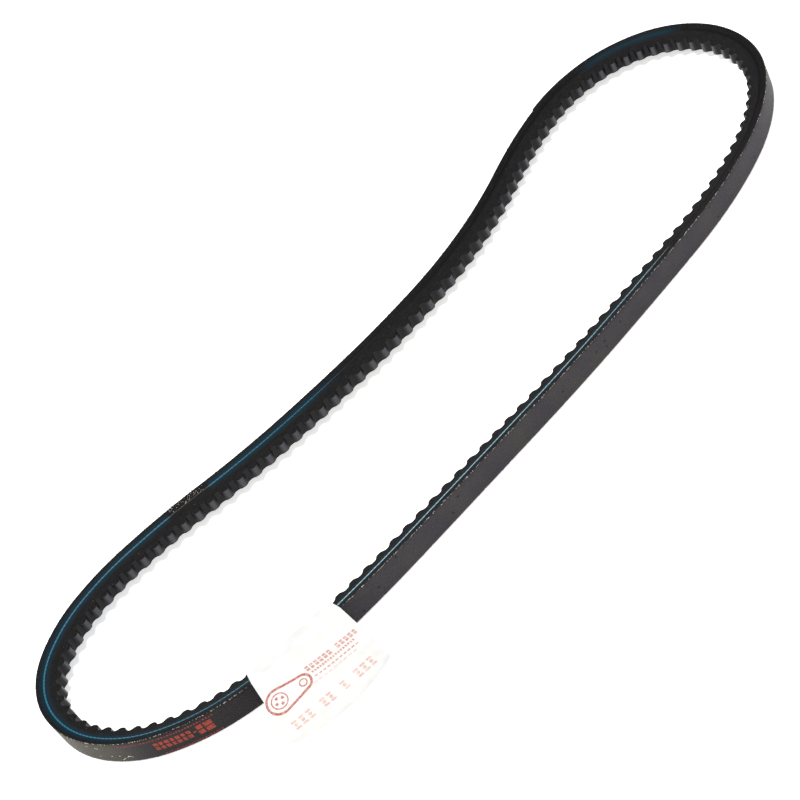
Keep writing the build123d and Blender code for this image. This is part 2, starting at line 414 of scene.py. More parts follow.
ply, given = new_tree("one ply", [
    ("Line", "Object", None), ("From", "Float", 0.0), ("To", "Float", 0.1), ("Step", "Float", 0.5 * MM),
    ("Rows", "Int", 5), ("Columns", "Int", 5), ("Top", "Float", 0.0), ("Bottom", "Float", BACK_PLY),
    ("Half width", "Float", TOP_WIDTH / 2), ("Taper", "Float", TAPER), ("Corner", "Float", 0.0),
    ("Cog depth", "Float", 0.0), ("Cog spacing", "Float", COG_SPACING), ("Cog phase", "Float", COG_PHASE),
    ("Groove", "Float", 0.0), ("Groove width", "Float", 0.3 * MM), ("Lap", "Float", 0.0),
    ("Lap from", "Float", 0.0), ("Lap to", "Float", 1.0), ("Finish", "Material", None)])
count = (given["To"] - given["From"]) / given["Step"] + 2.0
box = add(ply, "GeometryNodeMeshCube", {
    "Size": (1, 1, 1), "Vertices X": count, "Vertices Y": given["Rows"], "Vertices Z": given["Columns"]})
share = split(add(ply, "GeometryNodeInputPosition"))
along = ramp(share[0], -0.5, 0.5, given["From"], given["To"])
wave = cog_wave(along, given["Cog spacing"], given["Cog phase"])
bottom = calc("MULTIPLY_ADD", wave, given["Cog depth"], given["Bottom"]) - given["Cog depth"]
lap_rise = ramp(along, given["Lap from"], given["Lap from"] + LAP_RISE, 0.0, given["Lap"])
lap_fall = ramp(along, given["Lap from"], given["Lap to"], 1.0, 0.0)
top = given["Top"] - lap_rise * lap_fall
depth = ramp(share[1], -0.5, 0.5, top, bottom)
half = given["Half width"] - depth * given["Taper"]
left = calc("MAXIMUM", given["Corner"] - (depth - top), 0.0)
inset = given["Corner"] - calc("SQRT", given["Corner"] * given["Corner"] - left * left)
off_line = calc("POWER", (depth - CORD_DEPTH) / given["Groove width"], 2.0)
fade = calc("EXPONENT", off_line * -1.0)
half = half - calc("MULTIPLY_ADD", fade, given["Groove"], inset)
across = share[2] * 2.0 * half
mapped = add(ply, "GeometryNodeSetPosition", {"Geometry": box, "Position": gather(along, depth, across)})
lay(ply, mapped, given)
print("ply tree:", len(ply.nodes), "nodes")

# %% [markdown]
# ## Finishes
# Each finish starts from the real material and how its surface was made. The belt's patterns read the
# attribute `belt`, turned to millimetres, so one unit in a texture is one millimetre of belt.

# %% A material and its coordinates
WAVE_TURN = math.pi / 10            # a wave texture of scale 1 repeats every tenth of pi
EDGE = (0.05, 0.2)                  # millimetres inside the flank where its finish ends


def material(title, base, roughness, **more):
    """A new material with one Principled shader, and its tree."""
    made = bpy.data.materials.new(title)
    made.use_nodes = True
    shader = made.node_tree.nodes["Principled BSDF"]
    shader.inputs["Base Color"].default_value = colour(base)
    shader.inputs["Roughness"].default_value = roughness
    for key, value in more.items():
        shader.inputs[key.replace("_", " ")].default_value = value
    return made, made.node_tree, shader


def belt_place(tree, stretch=(1.0, 1.0, 1.0)):
    """Along, depth and across in millimetres, stretched if the pattern is."""
    place = add(tree, "ShaderNodeAttribute", attribute_name="belt", out="Vector")
    return add(tree, "ShaderNodeVectorMath", {0: place, 1: tuple(share / MM for share in stretch)},
               operation="MULTIPLY")


def noise(place, size, detail=3.0, roughness=0.55):
    """A noise whose blotches are about `size` millimetres wide."""
    return add(place.tree, "ShaderNodeTexNoise", {
        "Vector": place, "Scale": 1 / size, "Detail": detail, "Roughness": roughness}, out="Fac")


def blend(share, low, high):
    """One colour at 0 and the other at 1."""
    return add(share.tree, "ShaderNodeMix", {0: share, 6: low, 7: high}, out=2, data_type="RGBA")


def tint(share, low, high, start=0.35, end=0.65):
    """Two colours mixed over part of a pattern's range."""
    share = ramp(share, start, end)
    return blend(share, low, high)


def between(tree, start, end, soft, strength=1.0):
    """`strength` between two places along the belt and 0 elsewhere, with soft ends, in millimetres."""
    along = split(belt_place(tree))[0] % (LOOP / MM)
    soft_step = {"interpolation_type": "SMOOTHSTEP"}
    rise = ramp(along, start - soft, start + soft, **soft_step)
    fall = ramp(along, end - soft, end + soft, strength, 0.0, **soft_step)
    return rise * fall


def ground_here(tree):
    """1 on the ground flanks and 0 on the moulded or covered faces."""
    _, depth, across = split(belt_place(tree))
    half = calc("MULTIPLY_ADD", depth, -TAPER, TOP_WIDTH / 2 / MM)
    inside = half - abs(across)
    return ramp(inside, *EDGE, 1.0, 0.0)


def wire(shader, **patterns):
    """Links patterns to a shader's inputs."""
    for name, pattern in patterns.items():
        shader.id_data.links.new(pattern.socket, shader.inputs[name.replace("_", " ")])


def relief(height, distance, strength=1.0):
    """Bump of a real height in metres."""
    return add(height.tree, "ShaderNodeBump", {"Height": height, "Distance": distance, "Strength": strength},
               out="Normal")


print("finishes follow the belt in millimetres")

# %% [markdown]
# ### Rubberised back fabric
# A cotton and polyester cloth, laid on the bias and wiped with chloroprene, so threads run at 45 degrees
# both ways. The rubber fills the cloth, which leaves a dull charcoal grey with a faint weave, bluish and
# brownish clouds and a few pits. The stamped length is darker. Two soft patches are painted reflection:
# a warm khaki sheen on the lower left bend and a pale beige sheen on the right bend. The real thread
# spacing of 0.5 mm is too fine to show, so it is drawn at 0.9 mm.

# %% Back fabric
THREAD = 0.9                        # millimetres from thread to thread
PIT_SIZE = (0.06, 0.14)             # a pit is full and gone at these shares of its cell
SOFT_END = 9.0                      # millimetres over which a patch fades
PATCHES = (                         # from, to, colour and strength
    (32.0, 90.0, "#0f0e0f", 0.9),       # the stamped length was wiped with black solution first
    (94.0, 134.0, "#3c3826", 0.65),     # painted reflection: a warm khaki sheen on the lower left bend
    # painted reflection: a pale beige sheen on the right bend
    (552.0, 590.0, "#6a6450", 0.5),
)
fabric, tree, shader = material("rubberised bias cotton", "#2b2a2e", 0.7, Specular_IOR_Level=0.2)
shader.inputs["Sheen Weight"].default_value = 0.14
shader.inputs["Sheen Roughness"].default_value = 0.4
place = belt_place(tree)
clouds = tint(noise(place, 14), colour("#2a2730"), colour("#353131"))
grain = noise(place, 0.7)
threads = []
for turn in (45, -45):
    turned = add(tree, "ShaderNodeMapping", {"Vector": place, "Rotation": (0, math.radians(turn), 0)})
    threads.append(add(tree, "ShaderNodeTexWave", {"Vector": turned, "Scale": WAVE_TURN / THREAD,
                                                   "Distortion": 0.6, "Detail": 1.0}, out="Fac"))
weave = calc("MAXIMUM", threads[0], threads[1])
worn = weave * grain
coat = tint(worn, clouds, colour("#3d3b40"), 0.3, 1.0)
coat = tint(noise(place, 0.5, 1.0), coat, colour("#4d4b50"), 0.5, 0.95)
pits = add(tree, "ShaderNodeTexVoronoi", {"Vector": place, "Scale": 0.22}, out="Distance")
uneven = ramp(grain, low=0.5, high=1.4)
# The stamped length is made darker, and two bends get painted reflection, khaki and pale beige
for start, end, shade, strength in PATCHES:
    patch = between(tree, start, end, SOFT_END, strength) * uneven
    coat = blend(patch, coat, colour(shade))
coat = tint(pits, colour("#101012"), coat, *PIT_SIZE)
coat = tint(ground_here(tree), coat, colour("#121113"), 0.0, 1.0)
dull = ramp(grain, low=0.6, high=0.85)
wire(shader, Base_Color=coat, Roughness=dull, Normal=relief(weave + grain, 0.05 * MM))
print("fabric threads every", THREAD, "mm")

# %% [markdown]
# ### The open turn of cord
# The tension cord is wound as one long helix that moves one pitch across the belt for each turn of the
# loop. The cut flank therefore slices one turn open along a little over half of the loop. There its teal
# dip shows as a blue-green line, and the dip also stains the rubber beside it, so the finishes ask how far
# they are from the open cord.

# %% Distance from the open cord
CORD_RADIUS = 0.45 * MM
CORD_PITCH = 1.6 * MM
WIDEST = 70 * MM                    # where the flank cuts the cord through its middle
COVERED = (225.0, 243.0)            # millimetres along, where frayed fabric has been rolled over the cord
GRAZED = (484.0, 528.0)             # and where the next turn of cord lies just under the flank
CUT_END = (0.26, 0.285)             # shares of a turn from the widest cut where the open cord ends


def opening(tree):
    """The signed share of a turn from the widest cut to this place, from minus a half to a half."""
    offset = split(belt_place(tree))[0] - WIDEST / MM
    return (offset / (LOOP / MM) + 0.5) % 1.0 - 0.5


def showing(tree):
    """1 where the cord is cut open and nothing covers it."""
    cut = ramp(abs(opening(tree)), *CUT_END, 1.0, 0.0)
    return cut - between(tree, *COVERED, 2.0)


def stained(tree, reach):
    """How far the cord's dip has stained the rubber: 1 at the open cord, 0 at `reach` millimetres."""
    beside = abs(split(belt_place(tree))[1] - CORD_DEPTH / MM)
    near = ramp(beside, 0.0, reach, 1.0, 0.0)
    grazed = calc("MAXIMUM", showing(tree), between(tree, *GRAZED, 8.0, 0.8))
    return near * grazed


print("one turn of cord is open for", round(100 * 2 * CORD_RADIUS / CORD_PITCH), "% of the loop")

# %% [markdown]
# ### Ground flanks and moulded cogs
# The flanks are cut and ground on a wheel, which leaves matt near-black rubber with short fibres lying
# across the belt and streaks along it. The cogs are moulded against a smooth matrix, so they are a little
# glossier, and their tips are partly scuffed to grey. Painted shade darkens them to black in the valleys,
# and a painted highlight runs along each crest.

# %% Flank rubber and cog rubber
GROUND_DULLER = 0.45                # a ground flank is this much rougher than a moulded cog
TIP = THICKNESS / MM                # depth of the cogs' tips in millimetres


def flank_coat(tree):
    """The colour of a ground flank: streaks along the belt, the cord's stain and a little pale lint."""
    streak = noise(belt_place(tree, (0.12, 1, 1)), 0.4)
    coat = tint(streak, colour("#050506"), colour("#171516"))
    coat = tint(noise(belt_place(tree), 0.4, 1.0), coat, colour("#232122"), 0.45, 0.8)
    coat = tint(stained(tree, 2.6), coat, colour("#0e2c38"), 0.1, 1.1)
    lint = add(tree, "ShaderNodeTexVoronoi", {"Vector": belt_place(tree), "Scale": 0.35}, out="Distance")
    return tint(lint, colour("#6a665e"), coat, 0.03, 0.06)


ground, tree, shader = material("ground chloroprene with short fibres", "#121214", 0.62,
                                Specular_IOR_Level=0.08)
speck = noise(belt_place(tree), 0.35, 2.0)
wire(shader, Base_Color=flank_coat(tree), Roughness=ramp(speck, low=0.5, high=0.8),
     Normal=relief(speck, 0.06 * MM))

moulded, tree, shader = material("moulded chloroprene cogs", "#161617", 0.4, Specular_IOR_Level=0.18)
place = belt_place(tree)
depth = split(place)[1]
speck = noise(place, 0.5)
brushed = noise(belt_place(tree, (1, 1, 0.15)), 0.3)
valley_shade_and_scuff = depth + brushed
# painted shade: black towards the valleys, grading to grey tips that are partly real scuffing
face = tint(valley_shade_and_scuff, colour("#040405"), colour("#26272c"), TIP - 1.2, TIP + 0.9)
# painted highlight: a narrow light grey line along each crest, partly real wear
crest = calc("MULTIPLY_ADD", brushed, 0.25, depth)
face = tint(crest, face, colour("#44454b"), TIP - 0.15, TIP + 0.16)
flank = ground_here(tree)
face = blend(flank, face, flank_coat(tree))
dull = calc("MULTIPLY_ADD", flank, GROUND_DULLER, ramp(speck, low=0.3, high=0.5))
wire(shader, Base_Color=face, Roughness=dull, Normal=relief(speck + brushed, 0.05 * MM))
print("cog rubber goes from black valleys to grey tips")

# %% [markdown]
# ### Cord and cushion gum
# The tension cord is polyester, twisted and dipped in a teal adhesive. Where the cut only grazes it the
# fibres are dry and pale, and where it goes through the middle the dip's full colour shows. The gum that
# holds it is black.

# %% Cord and gum
TWIST = 1.1                         # millimetres along the belt
cord_finish, tree, shader = material("teal dipped polyester cord", "#2390b0", 0.5, Specular_IOR_Level=0.25)
place = belt_place(tree)
turned = add(tree, "ShaderNodeMapping", {"Vector": place, "Rotation": (0, 0, math.radians(50))})
strands = add(tree, "ShaderNodeTexWave", {"Vector": turned, "Scale": WAVE_TURN / TWIST, "Distortion": 1.5},
              out="Fac")
frayed = strands * noise(place, 0.6)
deep = tint(frayed, colour("#17566b"), colour("#31748c"), 0.0, 0.6)
middling = tint(frayed, colour("#3b5a64"), colour("#5f7f89"), 0.0, 0.6)
dry = tint(frayed, colour("#7f9fa9"), colour("#bccfd4"), 0.0, 0.6)
shade = tint(opening(tree), dry, middling, -0.08, -0.03)
shade = tint(opening(tree), shade, deep, 0.01, 0.05)
shade = tint(showing(tree), colour("#151517"), shade, 0.0, 1.0)
wire(shader, Base_Color=shade, Normal=relief(strands, 0.03 * MM))

gum_finish, tree, shader = material("cushion gum beside the cord", "#101316", 0.6, Specular_IOR_Level=0.08)
speck = noise(belt_place(tree), 0.5)
dark = tint(speck, colour("#060608"), colour("#121315"))
wire(shader, Base_Color=tint(stained(tree, 1.2), dark, colour("#0a3446"), 0.2, 1.0),
     Normal=relief(speck, 0.05 * MM))
print("the cord's twist repeats every", TWIST, "mm")

# %% [markdown]
# ## Lay the plies
# The belt flexes at six hinges. Each ply is therefore built as six pieces, one for each hinge, which meet
# half way between hinges.

# %% Where the six pieces of each ply meet
FLEX_REACH = 22 * MM                # points this far each side of a hinge are looked up but not used
HAIR = 0.04 * MM                    # left free each side of the seam where the loop of joints is opened
hinges = {name: joint for name, joint in joints.items() if joint["type"] == "hinge"}
hinge_place = {name: stretch_start[joint["child"]] for name, joint in hinges.items()}
hinge_place["flex_lower_left"] = LOOP
hinge_order = sorted(hinges, key=hinge_place.get)
seam = stretch_start["bend_left_upper"]
limits = [seam + HAIR]
for here, there in zip(hinge_order, hinge_order[1:]):
    limits.append((hinge_place[here] + hinge_place[there]) / 2)
limits.append(LOOP + seam - HAIR)
spans = {name: (limits[index], limits[index + 1]) for index, name in enumerate(hinge_order)}
for name, (start, end) in spans.items():
    print(f"{name}: {start / MM:.1f} to {end / MM:.1f} mm, hinge at {hinge_place[name] / MM:.1f}")


def flex(piece, name, layer):
    """Bakes a piece's placement into its mesh and, given a layer, hides the ply's two CAD nodes that it
    stands for.
    """
    joint = hinges[name]
    before, after = joint["parent"], joint["child"]
    place = hinge_place[name]
    point_at(place - FLEX_REACH, CORD_DEPTH, 0)
    point_at(place + FLEX_REACH, CORD_DEPTH, 0)
    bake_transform(piece)
    if layer:
        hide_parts(f"{layer}_{before}", f"{layer}_{after}")


# %% Build the four plies
LAP_HEIGHT = 0.55 * MM              # where one end of the cover lies on the other
LAP_SPAN = (456.3 * MM, 502 * MM)
PLIES = {
    "back_fabric": {"Bottom": BACK_PLY, "Rows": 6, "Columns": 9, "Corner": 0.35 * MM, "Finish": fabric,
                    "Lap": LAP_HEIGHT, "Lap from": LAP_SPAN[0], "Lap to": LAP_SPAN[1]},
    "top_rubber": {"Top": BACK_PLY, "Bottom": GUM_TOP, "Rows": 5, "Columns": 3, "Step": MM, "Finish": ground},
    "cushion_gum": {"Top": GUM_TOP, "Bottom": GUM_BOTTOM, "Rows": 9, "Columns": 3, "Step": MM,
                    "Groove": 0.08 * MM, "Finish": gum_finish},
    "cog_rubber": {"Top": GUM_BOTTOM, "Bottom": THICKNESS, "Rows": 7, "Columns": 5, "Step": 0.42 * MM,
                   "Cog depth": COG_DEPTH, "Finish": moulded},
}
for layer, settings in PLIES.items():
    for name, (start, end) in spans.items():
        piece = grow(f"{layer}_{name}", ply, {"Line": guide, "From": start, "To": end, **settings})
        flex(piece, name, layer)
    print(layer, "pieces have up to", len(piece.data.polygons), "faces")

# %% [markdown]
# ## The cord
# The helix makes almost six turns, so five or six passes lie side by side everywhere. The tree makes one
# straight tube, repeats it for every pass that a piece can meet, lets each pass drift across the belt,
# presses the tube flat where the flank has cut it, and drops the passes that lie beyond the helix's ends.

# %% The cord tree
PASSES = 7                          # a piece can meet this many
SAME_SPOT = 0.001 * MM              # corners nearer than this become one
SQUEEZE = 0.62                      # the cord's depth as a share of its width
FLANK_AT_CORD = TOP_WIDTH / 2 - CORD_DEPTH * TAPER
helix_start = WIDEST - LOOP * CORD_RADIUS / CORD_PITCH
helix_end = WIDEST + LOOP * (2 * FLANK_AT_CORD + CORD_RADIUS) / CORD_PITCH
cords, given = new_tree("turns of cord", [
    ("Line", "Object", None), ("From", "Float", 0.0), ("To", "Float", 0.1), ("Step", "Float", 1.5 * MM),
    ("Passes", "Int", PASSES), ("Loop", "Float", LOOP), ("Radius", "Float", CORD_RADIUS),
    ("Pitch", "Float", CORD_PITCH), ("Widest", "Float", WIDEST), ("Helix start", "Float", helix_start),
    ("Helix end", "Float", helix_end), ("Flank", "Float", FLANK_AT_CORD), ("Squeeze", "Float", SQUEEZE),
    ("Proud", "Float", 0.03 * MM), ("Finish", "Material", None)])
count = (given["To"] - given["From"]) / given["Step"]
tube = add(cords, "GeometryNodeMeshCylinder", {
    "Vertices": 12, "Side Segments": count, "Radius": given["Radius"], "Depth": 1.0}, out="Mesh")
passes = add(cords, "GeometryNodeMeshLine", {"Count": given["Passes"], "Offset": (0, 0, 0)})
tubes = add(cords, "GeometryNodeInstanceOnPoints", {"Points": passes, "Instance": tube})
tubes = add(cords, "GeometryNodeStoreNamedAttribute", {
    "Geometry": tubes, "Name": "turn", "Value": add(cords, "GeometryNodeInputIndex")},
    data_type="FLOAT", domain="INSTANCE")
tubes = add(cords, "GeometryNodeRealizeInstances", {"Geometry": tubes})
turn = add(cords, "GeometryNodeInputNamedAttribute", {"Name": "turn"}, data_type="FLOAT")
lead = (turn - 1.0) * given["Loop"]
corner = split(add(cords, "GeometryNodeInputPosition"))
along = ramp(corner[2], -0.5, 0.5, given["From"], given["To"])
kept = add(cords, "ShaderNodeClamp", {
    "Value": along + lead, "Min": given["Helix start"], "Max": given["Helix end"]})
along = kept - lead
drift = (kept - given["Widest"]) / given["Loop"] * given["Pitch"]
inwards = corner[0] * given["Squeeze"]
flank = calc("MULTIPLY_ADD", inwards, -TAPER, given["Flank"]) + given["Proud"]
across = add(cords, "ShaderNodeClamp", {
    "Value": given["Flank"] - drift + corner[1], "Min": flank * -1.0, "Max": flank})
placed = add(cords, "GeometryNodeSetPosition", {
    "Geometry": tubes, "Position": gather(along, inwards + CORD_DEPTH, across)})
early = add(cords, "FunctionNodeCompare", {0: given["To"] + lead, 1: given["Helix start"]},
            operation="LESS_EQUAL")
late = add(cords, "FunctionNodeCompare", {0: given["From"] + lead, 1: given["Helix end"]},
           operation="GREATER_EQUAL")
absent = add(cords, "FunctionNodeBooleanMath", {0: early, 1: late}, operation="OR")
placed = add(cords, "GeometryNodeDeleteGeometry", {"Geometry": placed, "Selection": absent}, domain="POINT")
placed = add(cords, "GeometryNodeMergeByDistance", {"Geometry": placed, "Distance": SAME_SPOT})
lay(cords, placed, given)
print("cord tree:", len(cords.nodes), "nodes")

# %% Wind the cord
for name, (start, end) in spans.items():
    piece = grow(f"tension_cord_{name}", cords, {
        "Line": guide, "From": start, "To": end, "Finish": cord_finish})
    flex(piece, name, "tension_cord")
print(f"one cord, {(helix_end - helix_start):.2f} m long, in {len(spans)} pieces")

# %% [markdown]
# ## Cut thread ends
# Where the fabric was slit, the ends of its threads stand out along both edges of the back as pale specks.
# The tree scatters small stretched beads along a span with a fixed seed. One short stretch is frayed more
# than the rest.

# %% The thread tree
BEAD_LENGTH, BEAD_DEPTH, BEAD_WIDTH = (0.5, 2.4), 0.8, 1.2      # shares of the bead's size
BEAD_LEAN = 0.9                     # radians off the belt's line, at most
thread_finish, tree, shader = material("cut cotton threads", "#8b857a", 0.8)
shade = tint(noise(belt_place(tree), 1.5), colour("#6a6458"), colour("#e6e0d4"), 0.35, 0.6)
wire(shader, Base_Color=shade)


def chance(seed, low, high):
    """A random number between two values for each thread end."""
    return add(ends, "FunctionNodeRandomValue", {"Seed": seed, 2: low, 3: high}, out=1)


ends, given = new_tree("thread ends", [
    ("Line", "Object", None), ("From", "Float", 0.0), ("To", "Float", 0.1), ("Spacing", "Float", 0.28 * MM),
    ("Size", "Float", 0.1 * MM), ("Edge", "Float", TOP_WIDTH / 2), ("Band", "Float", 0.4 * MM),
    ("Depth", "Float", 0.1 * MM), ("Taper", "Float", TAPER), ("Seed", "Int", 4),
    ("Finish", "Material", None)])
count = (given["To"] - given["From"]) / given["Spacing"]
line = add(ends, "GeometryNodeMeshLine", {"Count": count, "Offset": (0, 0, 0)})
seeds = [given["Seed"] + float(extra) for extra in range(6)]
along = chance(seeds[0], given["From"], given["To"])
side = calc("SIGN", chance(seeds[1], -1.0, 1.0))
inside = chance(seeds[2], 0.0, given["Band"])
depth = chance(seeds[5], 0.0, given["Depth"])
edge = given["Edge"] - calc("MULTIPLY_ADD", depth, given["Taper"], inside)
across = edge * side
dots = add(ends, "GeometryNodeSetPosition", {"Geometry": line, "Position": gather(along, depth, across)})
bead = add(ends, "GeometryNodeMeshIcoSphere", {"Radius": given["Size"], "Subdivisions": 1}, out="Mesh")
length = chance(seeds[3], *BEAD_LENGTH)
lean = gather(0.0, chance(seeds[4], -BEAD_LEAN, BEAD_LEAN))
beads = add(ends, "GeometryNodeInstanceOnPoints", {
    "Points": dots, "Instance": bead, "Scale": gather(length, BEAD_DEPTH, BEAD_WIDTH), "Rotation": lean})
beads = add(ends, "GeometryNodeRealizeInstances", {"Geometry": beads})
lay(ends, beads, given)
print("thread tree:", len(ends.nodes), "nodes")

# %% Scatter the thread ends
FRAYED = (226 * MM, 242 * MM)
SEED_STEP = 10                      # each piece gets its own scatter
for order, (name, (start, end)) in enumerate(spans.items()):
    piece = grow(f"edge_threads_{name}", ends, {
        "Line": guide, "From": start, "To": end, "Seed": SEED_STEP * order, "Finish": thread_finish})
    flex(piece, name, None)
fray = grow("frayed_threads", ends, {
    "Line": guide, "From": FRAYED[0], "To": FRAYED[1], "Spacing": 0.12 * MM, "Size": 0.12 * MM,
    "Band": 0.05 * MM, "Depth": 2.8 * MM, "Finish": thread_finish})
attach(fray, "bend_left_upper")
print("thread ends:", len(fray.data.polygons), "faces in the frayed stretch")

# %% [markdown]
# ## The paper sleeve
# A strip of white bond paper is wrapped once round the belt and creased at the front. It goes under the
# belt, up behind the cogs, over the upper flank and down to the crease, like a small lean-to roof. Paper
# keeps its length when it folds, so the roof is nearly flat, with a soft bulge, and the crease wanders by a
# few millimetres.

# %% Sleeve section
PAPER = 0.2 * MM
SLEEVE_FROM = 8 * MM
SLEEVE_TO = 44.9 * MM
GAP = 0.45 * MM                     # between the paper and the belt
FLOOR_GAP = 0.02 * MM
CREASE_REACH = (21 * MM, 25 * MM, 22 * MM)      # at the right end, the middle and the left end
CREASE_WIDTH, CREASE_HEIGHT = 0.25 * MM, 0.35 * MM
FOOT = 0.9 * MM                     # height of the sloping face above the crease
BULGE = 0.55                        # millimetres that the sloping face swells
RIPPLES = ((0.22, 7, 3), (0.12, 17, -5))        # millimetres high, turns along, turns down
UNDER_STEPS, SLOPE_STEPS, SHORT_STEPS = 14, 18, 6       # below, on the slope, and on the two short sides
ridge = rest_height + TOP_WIDTH + GAP + PAPER
eaves = ridge - THICKNESS * TAPER
behind = -(THICKNESS + GAP + PAPER)


def crease_reach(share):
    """How far the crease lies out from the back, along the sleeve: a parabola through three reaches."""
    right, middle, left = CREASE_REACH
    return right + (4 * middle - 3 * right - left) * share + (2 * right + 2 * left - 4 * middle) * share**2


def roof(share, down):
    """A point of the sleeve's sloping face as (out from the back, height); `down` runs from 0 to 1."""
    top, foot = Vector((GAP, ridge)), Vector((crease_reach(share), FOOT))
    across_slope = (foot - top).orthogonal().normalized()
    across_slope *= 1 if across_slope.y > 0 else -1
    ripple = sum(high * math.sin(turns * share + steps * down) for high, turns, steps in RIPPLES)
    hump = math.sin(math.pi * down)
    return top.lerp(foot, down) + across_slope * ((BULGE * hump + ripple * hump) * MM)


def sleeve_section(share):
    """The closed outer line of the sleeve at one place along it."""
    reach = crease_reach(share)
    top, drop, heel = Vector((GAP, ridge)), Vector((behind, eaves)), Vector((behind, FLOOR_GAP))
    toe = Vector((reach, FLOOR_GAP))
    line = [heel.lerp(toe, step / UNDER_STEPS) for step in range(UNDER_STEPS)]
    line.append(Vector((reach + CREASE_WIDTH, CREASE_HEIGHT)))
    line += [roof(share, 1 - step / SLOPE_STEPS) for step in range(SLOPE_STEPS + 1)]
    line += [top.lerp(drop, step / SHORT_STEPS) for step in range(1, SHORT_STEPS)]
    line += [drop.lerp(heel, step / SHORT_STEPS) for step in range(SHORT_STEPS)]
    return line


slope = Vector((GAP, ridge)) - Vector((crease_reach(0.5), 0))
print(f"the roof is {slope.length / MM:.1f} mm down the slope")

# %% Straight sleeve mesh
ROWS = 40                           # steps along the sleeve
sleeve_rings = []
for row in range(ROWS + 1):
    share = row / ROWS
    outer = sleeve_section(share)
    size = len(outer)
    inner = []
    for index, spot in enumerate(outer):
        way = (outer[(index + 1) % size] - outer[index - 1]).normalized()
        inner.append(spot + PAPER * Vector((-way.y, way.x)))
    along = SLEEVE_FROM + (SLEEVE_TO - SLEEVE_FROM) * share
    sleeve_rings.append([(along, -spot.x, spot.y - MIDDLE) for spot in outer + inner])
paper_mesh = bpy.data.meshes.new("paper_sleeve_straight")
corners = [corner for one in sleeve_rings for corner in one]
faces = []
for row in range(ROWS):
    for index in range(size):
        following = (index + 1) % size
        near, far = row * 2 * size, (row + 1) * 2 * size
        for a, b in ((index, following), (size + following, size + index)):
            faces.append((near + a, near + b, far + b, far + a))
for row, flip in ((0, False), (ROWS, True)):
    base = row * 2 * size
    for index in range(size):
        following = (index + 1) % size
        rim = (base + index, base + size + index, base + size + following, base + following)
        faces.append(rim[::-1] if flip else rim)
paper_mesh.from_pydata(corners, [], faces)
print("sleeve:", len(faces), "faces")

# %% [markdown]
# ### Paper and ink
# Uncoated bond paper is bright white with a faint cloudy formation and very little gloss. The inks are thin
# matt films: a rubbed red and two fainter ones on the paper, and an orange red and a worn crimson on the
# rubber, which also has a few white scuffs.

# %% Paper and inks
paper, tree, shader = material("white bond paper", "#e9e9e8", 0.85, Specular_IOR_Level=0.2)
place = belt_place(tree)
wire(shader, Base_Color=tint(noise(place, 5), colour("#dddddc"), colour("#e7e7e6")),
     Normal=relief(noise(place, 1.2), 0.04 * MM, 0.6))


def ink(title, thin, full):
    """A stamped ink that is thinner in places."""
    made, tree, shader = material(title, full, 0.7, Specular_IOR_Level=0.3)
    wire(shader, Base_Color=tint(noise(belt_place(tree), 0.8), colour(thin), colour(full), 0.3, 0.6))
    return made


red_ink = ink("red printing ink on paper", "#cda59f", "#ae5c54")
rubbed_ink = ink("rubbed red printing ink", "#dcc3be", "#c28a83")
pale_ink = ink("faint pink printing ink", "#e6d5d0", "#d3aba4")
back_ink = ink("orange red stamping ink on rubber", "#46201b", "#993727")
dark_red_ink = ink("worn crimson stamping ink", "#3a1c1e", "#8a2a30")
chalk = ink("white scuff marks", "#6b6a66", "#d8d6cf")
print("inks:", len(bpy.data.materials), "materials so far")

# %% [markdown]
# ## Stamped marks
# The sleeve and the back carry print. Only its places, sizes and colours are kept: plain bars, ticks and
# rings stand in for words. Every mark is a thin closed slab, cut into short lengths so that it can follow
# the bend.

# %% Slabs from strips
INK_TOP, INK_BOTTOM = 0.035 * MM, -0.015 * MM
SECTION = 4                         # corners in one cross-section of a slab


def bar(left, right, low, high, lean=0.0, pieces=4):
    """A strip between two places; `lean` shifts its upper edge."""
    steps = [left + (right - left) * step / pieces for step in range(pieces + 1)]
    return [((step, low), (step + lean, high)) for step in steps]


def ring(middle, radius, width, start=0.0, end=360.0, pieces=36):
    """A strip round an arc, in degrees."""
    strip = []
    for step in range(pieces + 1):
        angle = math.radians(start + (end - start) * step / pieces)
        way = Vector((math.cos(angle), math.sin(angle)))
        strip.append((tuple(Vector(middle) + (radius - width / 2) * way),
                      tuple(Vector(middle) + (radius + width / 2) * way)))
    return strip


def slabs(label, strips, place, finish, body):
    """Turns flat strips in millimetres into thin slabs laid on the belt or sleeve."""
    corners, faces = [], []
    for strip in strips:
        base = len(corners)
        for left, right in strip:
            corners += [place(*side, lift) for lift in (INK_TOP, INK_BOTTOM) for side in (left, right)]
        for a in range(base, len(corners) - SECTION, SECTION):
            b = a + SECTION
            faces += [(a, b, b + 1, a + 1), (a + 2, a + 3, b + 3, b + 2),
                      (a, a + 2, b + 2, b), (a + 1, b + 1, b + 3, a + 3)]
        last = len(corners) - SECTION
        faces += [(base, base + 1, base + 3, base + 2), (last, last + 2, last + 3, last + 1)]
    mesh = bpy.data.meshes.new(label + "_straight")
    mesh.from_pydata(corners, [], faces)
    form = bmesh.new()
    form.from_mesh(mesh)
    bmesh.ops.recalc_face_normals(form, faces=form.faces)
    form.to_mesh(mesh)
    form.free()
    piece = grow(label, stamp, {"Line": guide, "Finish": finish}, mesh)
    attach(piece, body)
    return piece


stamp, given = new_tree("lay on the loop", [
    ("Geometry", "Geometry", None), ("Line", "Object", None), ("Finish", "Material", None)])
lay(stamp, given["Geometry"], given)
sleeve = grow("paper_sleeve_paper", stamp, {"Line": guide, "Finish": paper}, paper_mesh)
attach(sleeve, "sleeve")
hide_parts("paper_sleeve")
print("sleeve bounds:", [round(value / MM, 1) for value in sleeve.dimensions])


# %% Print on the sleeve
A_LITTLE = 0.01                     # a step down the roof that shows which way it faces


